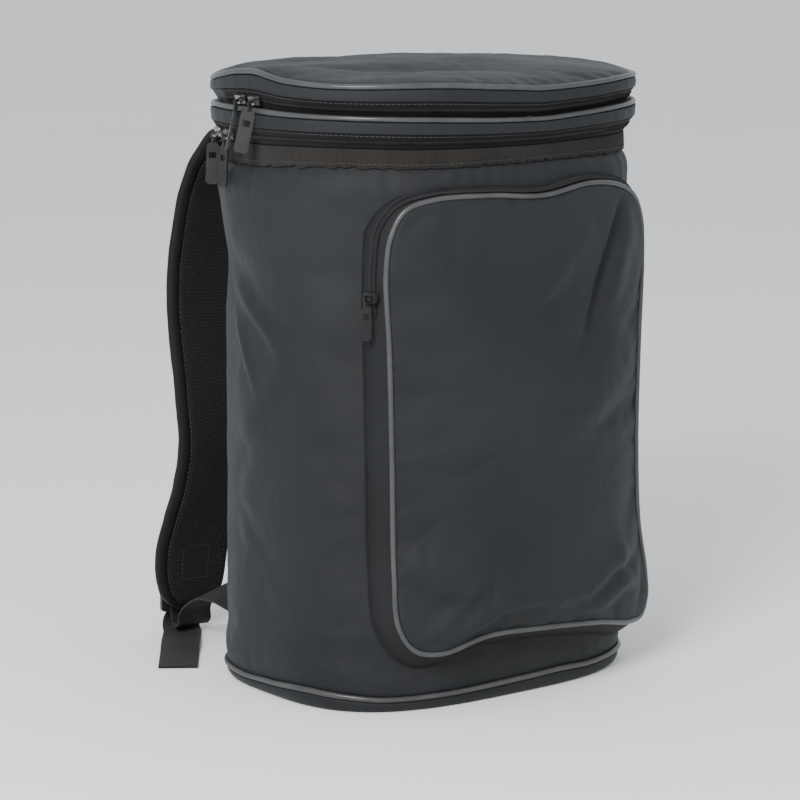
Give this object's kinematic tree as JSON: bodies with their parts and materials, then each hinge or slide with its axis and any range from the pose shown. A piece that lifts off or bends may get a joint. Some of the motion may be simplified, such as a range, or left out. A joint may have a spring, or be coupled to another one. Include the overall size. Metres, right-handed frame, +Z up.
{
  "type": "padded drum bag",
  "caption": "Padded drum-shaped backpack with a bound mouth, zipped expander band and lid, bowed front pocket and padded shoulder straps.",
  "frame": {"origin": "middle of the base's underside, where the bag stands on the floor", "axes": "+Z up, -Y out of the front pocket, +Y out of the back with the shoulder straps, +X to the bag's right as the pocket is faced"},
  "size_m": [0.3447, 0.3429, 0.4598],
  "materials": {
    "shell_fabric": "charcoal woven nylon with a soft sheen",
    "piping_cord": "smooth mid-grey piping",
    "binding_tape": "brownish black matt tape",
    "zip_tape": "near black knitted tape with coil",
    "air_mesh": "black spacer mesh",
    "webbing": "dark woven webbing",
    "slider_metal": "worn grey metal",
    "pull_metal": "dark satin metal",
    "buckle_plastic": "black satin plastic"
  },
  "bodies": {
    "bag": {"base_panel": "shell_fabric", "base_piping": "piping_cord", "body_wall": "shell_fabric", "binding_band": "binding_tape", "lower_zip": "zip_tape", "lower_hinge_panel": "shell_fabric", "expander_band": "shell_fabric", "expander_piping": "piping_cord", "upper_zip": "zip_tape", "upper_hinge_panel": "shell_fabric", "lid_band": "shell_fabric", "lid_piping": "piping_cord", "lid_panel": "shell_fabric", "pocket_gusset": "shell_fabric", "pocket_face": "shell_fabric", "pocket_piping": "piping_cord", "pocket_zip": "zip_tape", "upper_front_slider": "slider_metal", "upper_rear_slider": "slider_metal", "lower_front_slider": "slider_metal", "lower_rear_slider": "slider_metal", "pocket_slider": "slider_metal", "strap_pad_left": "shell_fabric", "strap_pad_right": "shell_fabric", "strap_mesh_left": "air_mesh", "strap_mesh_right": "air_mesh", "buckle_left": "buckle_plastic", "buckle_right": "buckle_plastic", "buckle_loop_left": "webbing", "buckle_loop_right": "webbing", "adjuster_web_left": "webbing", "adjuster_web_right": "webbing"},
    "upper_front_tab": {"upper_front_pull": "pull_metal"},
    "upper_rear_tab": {"upper_rear_pull": "pull_metal"},
    "lower_front_tab": {"lower_front_pull": "pull_metal"},
    "lower_rear_tab": {"lower_rear_pull": "pull_metal"},
    "pocket_tab": {"pocket_pull": "pull_metal"}
  },
  "joints": [
    {"name": "upper_front_swing", "type": "hinge", "parent": "bag", "child": "upper_front_tab", "pos_m": [-0.16178, -0.00902, 0.43489], "axis": [-0.0352, 0.9994, 0], "range_deg": [0, 130]},
    {"name": "upper_rear_swing", "type": "hinge", "parent": "bag", "child": "upper_rear_tab", "pos_m": [-0.1618, 0.00822, 0.43478], "axis": [0.0312, 0.9995, 0], "range_deg": [0, 130]},
    {"name": "lower_front_swing", "type": "hinge", "parent": "bag", "child": "lower_front_tab", "pos_m": [-0.15827, 0.02923, 0.40768], "axis": [0.1663, 0.9861, 0], "range_deg": [0, 110]},
    {"name": "lower_rear_swing", "type": "hinge", "parent": "bag", "child": "lower_rear_tab", "pos_m": [-0.15203, 0.05241, 0.4074], "axis": [0.3559, 0.9345, 0], "range_deg": [0, 110]},
    {"name": "pocket_swing", "type": "hinge", "parent": "bag", "child": "pocket_tab", "pos_m": [-0.12771, -0.09933, 0.30362], "axis": [-0.1592, 0.9873, 0], "range_deg": [0, 150]}
  ]
}
